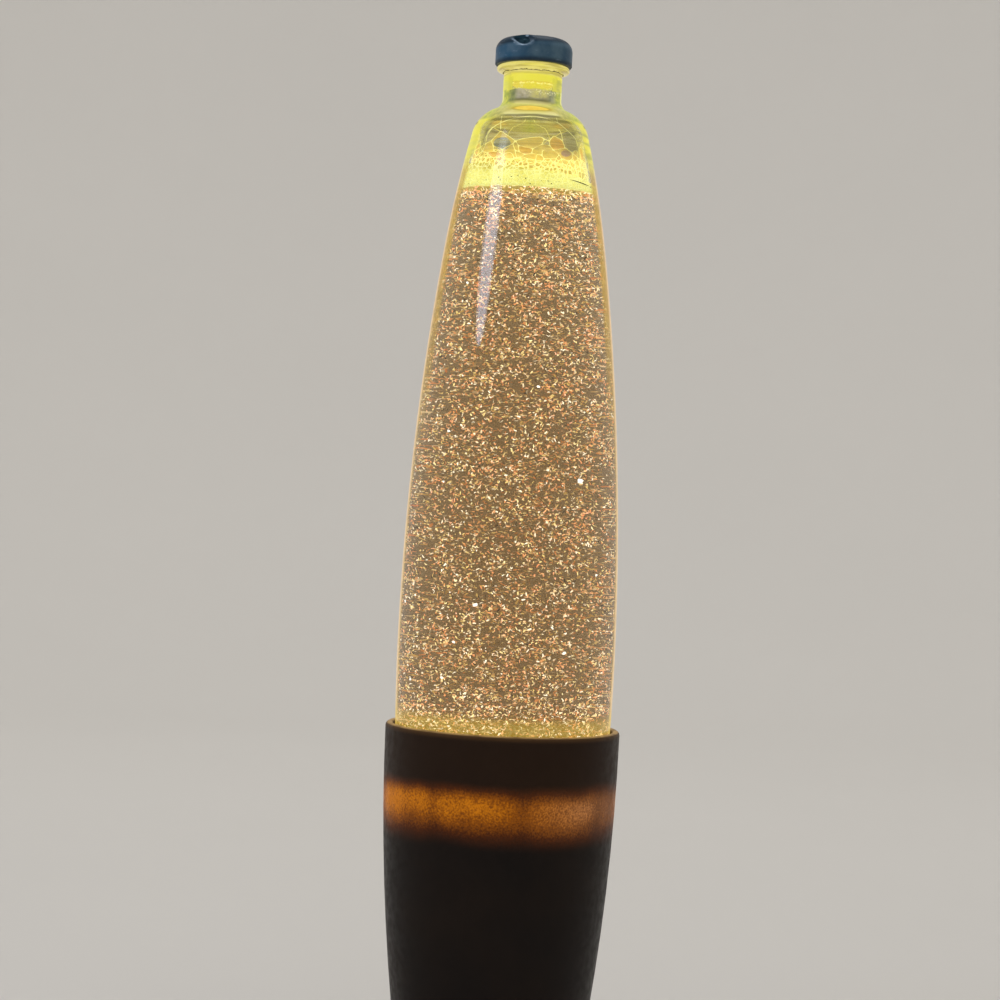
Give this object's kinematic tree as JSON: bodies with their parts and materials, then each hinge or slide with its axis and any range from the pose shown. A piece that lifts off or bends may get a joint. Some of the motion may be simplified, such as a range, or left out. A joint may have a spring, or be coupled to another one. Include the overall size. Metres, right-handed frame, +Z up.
{
  "type": "liquid motion lamp",
  "caption": "Glitter motion lamp: a tapering sealed glass bottle of amber liquid, foam and floating flakes, lit from below by a bulb in a dark tapered plastic base.",
  "frame": {"origin": "centre of the foot ring's underside, on the lamp's axis", "axes": "+Z up along the bottle, front towards -Y, cord outlet towards +Y"},
  "size_m": [0.0962, 0.0962, 0.433],
  "materials": {
    "bottle_glass": "polished",
    "amber_liquid": "polished",
    "foam": "satin",
    "glitter_foil": "polished",
    "stopper_plastic": "satin",
    "liner_plastic": "matte",
    "cap_plastic": "gloss",
    "base_plastic": "satin",
    "spun_aluminium": "satin",
    "ring_plastic": "satin",
    "socket_porcelain": "gloss",
    "socket_brass": "satin",
    "plated_screws": "satin",
    "zinc_steel": "satin",
    "cover_plastic": "matte",
    "foot_rubber": "matte",
    "grommet_rubber": "satin",
    "bulb_glass": "satin",
    "bulb_cap_metal": "polished",
    "bulb_vitrite": "gloss",
    "bulb_solder": "satin",
    "stem_glass": "polished",
    "bulb_wire_metal": "satin",
    "filament_tungsten": "satin"
  },
  "bodies": {
    "base": {"base_shell": "base_plastic", "heat_shield": "spun_aluminium", "shield_ring": "ring_plastic", "socket_body": "socket_porcelain", "socket_shell": "socket_brass", "socket_contact": "socket_brass", "terminal_plates": "socket_brass", "terminal_screws": "plated_screws", "socket_tube": "zinc_steel", "tube_locknut": "zinc_steel", "socket_bracket": "zinc_steel", "bracket_screws": "plated_screws", "bottom_cover": "cover_plastic", "cover_screws": "plated_screws", "foot_ring": "foot_rubber", "cord_grommet": "grommet_rubber"},
    "bottle": {"glass_bottle": "bottle_glass", "liquid_fill": "amber_liquid", "foam_head": "foam", "glitter_flakes": "glitter_foil", "neck_stopper": "stopper_plastic", "cap_liner": "liner_plastic", "bottle_cap": "cap_plastic"},
    "bulb": {"bulb_envelope": "bulb_glass", "bulb_screw_cap": "bulb_cap_metal", "bulb_insulator": "bulb_vitrite", "bulb_contact": "bulb_solder", "bulb_stem": "stem_glass", "bulb_wires": "bulb_wire_metal", "bulb_filament": "filament_tungsten"}
  },
  "joints": [
    {"name": "bottle_lift", "type": "slide", "parent": "base", "child": "bottle", "axis": [0, 0, 1], "range_m": [0, 0.14]},
    {"name": "bulb_turn", "type": "hinge", "parent": "base", "child": "bulb", "pos_m": [0, 0, 0.05], "axis": [0, 0, 1], "range_deg": [0, 1080]}
  ]
}
